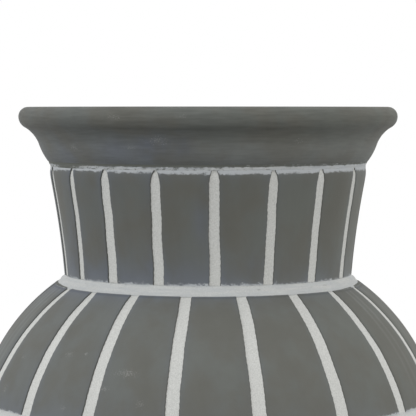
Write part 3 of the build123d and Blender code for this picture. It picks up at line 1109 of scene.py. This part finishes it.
# Bare clay, warmer or cooler
clay_finish, tree, shader, mark = begin_finish("dark_clay", 0.72, 0.3)
haze = times(tree, painted(tree, "haze"), ramp(tree, mark["Mottle"], 0.3, 0.62, 0.35, 1.15))
cloud = ramp(tree, mark["Mottle"], 0.52, 0.75, 0.0, 0.05)
cool = reckon(tree, "MAXIMUM", haze, cloud)
colour = mix_colour(tree, ramp(tree, mark["Mottle"], 0.4, 0.62), BROWN_CLAY, WARM_CLAY)
colour = mix_colour(tree, cool, colour, COOL_CLAY)
# Streaks, wheel marks and blotches
streak = ramp(tree, mark["Wipe"], 0.3, 0.7, 0.98, 1.03)
turned = times(tree, painted(tree, "wheel"), ramp(tree, mark["Sweep"], 0.3, 0.7, -0.11, 0.11))
sweep = plus(tree, turned, 1.0)
blotch = ramp(tree, mark["Mottle"], 0.35, 0.65, 0.95, 1.04)
uneven = times(tree, times(tree, streak, sweep), blotch)
colour = mix_colour(tree, 1.0, colour, grey(tree, uneven), "MULTIPLY")
# Wash with painted light, brush strokes, painted shade on the groove walls, and scuffs
wash_and_painted_light = times(tree, painted(tree, "dust"), ramp(tree, mark["Mottle"], 0.3, 0.8, 0.07, 0.12))
colour = mix_colour(tree, wash_and_painted_light, colour, PAINTED_LIGHT_AND_WASH)
brush = plus(tree, times(tree, painted(tree, "brush"), 1.6), broken(tree, mark, 1.8, 1.2))
colour = mix_colour(tree, ramp(tree, brush, 2.15, 2.7, 0.0, 0.95), colour, THIN_SLIP)
# Painted shade: the walls of the grooves are darkened
colour = mix_colour(tree, times(tree, painted(tree, "cut"), 0.4), colour, GROOVE_SHADE)
scuff = plus(tree, times(tree, painted(tree, "scuff"), 0.3), mark["Grit"])
colour = mix_colour(tree, ramp(tree, scuff, 0.74, 0.95, 0.0, 0.22), colour, RUBBED_SLIP)
tree.links.new(colour, shader.inputs["Base Color"])
print(f"{clay_finish.name}: colour from {len(tree.nodes)} nodes")

# %% Clay surface
height = plus(tree, times(tree, mark["Grit"], 0.5), mark["Grain"])
roughen(tree, shader, height, 0.25, 0.3 * MM)
print(f"{clay_finish.name}: {len(tree.nodes)} nodes in all")

# %% [markdown]
# ## Pale slip
# The slip is an off-white with the grain of sand in it. It is thin and bluish at its edges, has small dark
# pits, and where the brush ran dry the clay shows through in level streaks.

# %% Slip colours
SANDY_SLIP = (0.44, 0.445, 0.427)
WHITE_SLIP = (0.57, 0.575, 0.555)

slip_finish, tree, shader, mark = begin_finish("pale_slip", 0.8, 0.3)
colour = mix_colour(tree, ramp(tree, mark["Grit"], 0.3, 0.7), SANDY_SLIP, WHITE_SLIP)
thin = times(tree, painted(tree, "thin"), ramp(tree, mark["Sweep"], 0.3, 0.7, 0.5, 1.4))
edge = plus(tree, painted(tree, "edge"), times(tree, mark["Grain"], 0.35))
thin = reckon(tree, "MAXIMUM", thin, ramp(tree, edge, 1.05, 1.3, 0.0, 0.4))
colour = mix_colour(tree, thin, colour, THIN_SLIP)
worn = plus(tree, times(tree, painted(tree, "worn"), 1.5), broken(tree, mark, 1.4, 0.8))
colour = mix_colour(tree, ramp(tree, worn, 1.5, 1.9, 0.0, 0.95), colour, WARM_CLAY)
pits = ramp(tree, mark["Grit"], 0.71, 0.78, 0.0, 0.6)
colour = mix_colour(tree, pits, colour, WARM_CLAY)
tree.links.new(colour, shader.inputs["Base Color"])
print(f"{slip_finish.name}: colour from {len(tree.nodes)} nodes")

# %% Slip surface
height = plus(tree, mark["Grit"], times(tree, mark["Grain"], 0.4))
roughen(tree, shader, height, 0.4, 0.35 * MM)
print(f"{slip_finish.name}: {len(tree.nodes)} nodes in all")

# %% [markdown]
# ## Dressing the frame
# A fired vase is one rigid body. Each piece takes its finish, rides on that body, and stands for its CAD
# node. Faces that meet at less than the angle below are shaded as one smooth surface, and sharper corners,
# such as those of the joints, stay crisp.

# %% Ride and replace
SMOOTH_ANGLE = math.radians(50)
clay_pieces = {
    "rim_collar": rim_collar,
    "neck_wall": neck_wall,
    "shoulder_wall": shoulder_wall,
    "belly_bowl": belly_bowl,
    "foot_ring": foot_ring,
}
slip_pieces = {
    "collar_band": collar_band,
    "neck_band": neck_band,
    "belly_band": belly_band,
    "foot_band": foot_band,
    "neck_stripes": neck_stripes,
    "shoulder_stripes": shoulder_stripes,
    "belly_stripes": belly_stripes,
}
finishes = [("dark_clay", clay_finish, clay_pieces), ("pale_slip", slip_finish, slip_pieces)]
for slot, finish, pieces in finishes:
    for node, piece in pieces.items():
        pick(piece)
        bpy.ops.object.shade_smooth_by_angle(angle=SMOOTH_ANGLE)
        piece.data.materials.clear()
        piece.data.materials.append(finish)
        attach(piece, "root")
        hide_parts(node)
    print(f"{len(pieces)} pieces of {slot} ride on the vase")

# %% [markdown]
# ## Floor, background and light
# The vase stands in a plain white studio under broad soft light. The floor is a pale disc that catches the
# shadow and fades to white. What is seen directly or in a reflection is told from the light that a surface
# sends on: to the vase the floor is grey, as under a dark cloth, so the hollow below the lip stays dark.


# %% Seen or sending light
def seen_rays(tree):
    """One for rays of the camera, of reflections and of glass, and zero for light on its way."""
    path = add_node(tree, "ShaderNodeLightPath")
    mirrored = reckon(tree, "MAXIMUM", path.outputs["Is Camera Ray"], path.outputs["Is Glossy Ray"])
    return reckon(tree, "MAXIMUM", mirrored, path.outputs["Is Transmission Ray"])


def mix_shaders(tree, share, first, second):
    """Mix two shaders by a share."""
    node = add_node(tree, "ShaderNodeMixShader")
    for socket, output in zip(node.inputs, (share, first, second)):
        tree.links.new(output, socket)
    return node.outputs["Shader"]


# %% Floor
FLOOR_RADIUS = 0.9
FLOOR_PALE = 0.82
FLOOR_GREY = 0.22
clear_selection()
bpy.ops.mesh.primitive_circle_add(vertices=96, radius=FLOOR_RADIUS, fill_type="NGON")
floor = bpy.context.object
floor.name = "floor"
floor_finish = bpy.data.materials.new("pale_floor")
floor_finish.use_nodes = True
tree = floor_finish.node_tree
pale = tree.nodes["Principled BSDF"]
grey_cloth = add_node(tree, "ShaderNodeBsdfPrincipled")
for shader, level in ((pale, FLOOR_PALE), (grey_cloth, FLOOR_GREY)):
    shader.inputs["Base Color"].default_value = (level, level, level, 1)
    shader.inputs["Roughness"].default_value = 0.9
white = add_node(tree, "ShaderNodeEmission")
place = add_node(tree, "ShaderNodeTexCoord")
far = add_node(tree, "ShaderNodeVectorMath", operation="LENGTH")
tree.links.new(place.outputs["Object"], far.inputs[0])
seen = seen_rays(tree)
fading = times(tree, seen, ramp(tree, far.outputs["Value"], 0.3, 0.85))
surface = mix_shaders(tree, seen, grey_cloth.outputs["BSDF"], pale.outputs["BSDF"])
surface = mix_shaders(tree, fading, surface, white.outputs["Emission"])
tree.links.new(surface, tree.nodes["Material Output"].inputs["Surface"])
floor.data.materials.append(floor_finish)
print(f"floor {2 * FLOOR_RADIUS} m across")

# %% World
WORLD_LIGHT = 1.1
WORLD_BELOW = 0.38
world = bpy.data.worlds.new("studio")
bpy.context.scene.world = world
world.use_nodes = True
tree = world.node_tree
light = tree.nodes["Background"]
light.inputs["Strength"].default_value = WORLD_LIGHT
sky = add_node(tree, "ShaderNodeTexCoord")
way = add_node(tree, "ShaderNodeSeparateXYZ")
tree.links.new(sky.outputs["Generated"], way.inputs["Vector"])
tree.links.new(ramp(tree, way.outputs["Z"], -0.25, 0.15, WORLD_BELOW), light.inputs["Color"])
backdrop = add_node(tree, "ShaderNodeBackground", inputs={"Color": (1, 1, 1, 1)})
surface = mix_shaders(tree, seen_rays(tree), light.outputs["Background"], backdrop.outputs["Background"])
tree.links.new(surface, tree.nodes["World Output"].inputs["Surface"])
print(f"world {WORLD_LIGHT} above and {WORLD_LIGHT * WORLD_BELOW:.2f} below")


# %% Lamps
def softbox(name, place, aim, size, power, tint=(1, 1, 1)):
    """A large square lamp that faces a point."""
    clear_selection()
    bpy.ops.object.light_add(type="AREA", location=place)
    lamp = bpy.context.object
    lamp.name = name
    lamp.data.size = size
    lamp.data.energy = power
    lamp.data.color = tint
    way = np.array(aim) - np.array(place)
    tilt = math.acos(-way[2] / np.linalg.norm(way))
    lamp.rotation_euler = (tilt, 0, math.atan2(way[1], way[0]) - math.pi / 2)
    print(f"{name}: {power} W, {size} m across")


softbox("overhead_softbox", (0, 0.1, 1.7), (0, 0, 0.2), 1.4, 3)
softbox("left_softbox", (-1.65, -0.9, 0.6), (0, 0, 0.3), 1.0, 10.5, (0.96, 0.98, 1.0))
softbox("right_softbox", (1.65, -0.9, 0.25), (0, 0, 0.3), 1.0, 8, (1.0, 0.985, 0.95))

# %% [markdown]
# ## View
# The Standard view shows a colour about as it is written.

# %% View settings
bpy.context.scene.view_settings.view_transform = "Standard"
print("view transform:", bpy.context.scene.view_settings.view_transform)
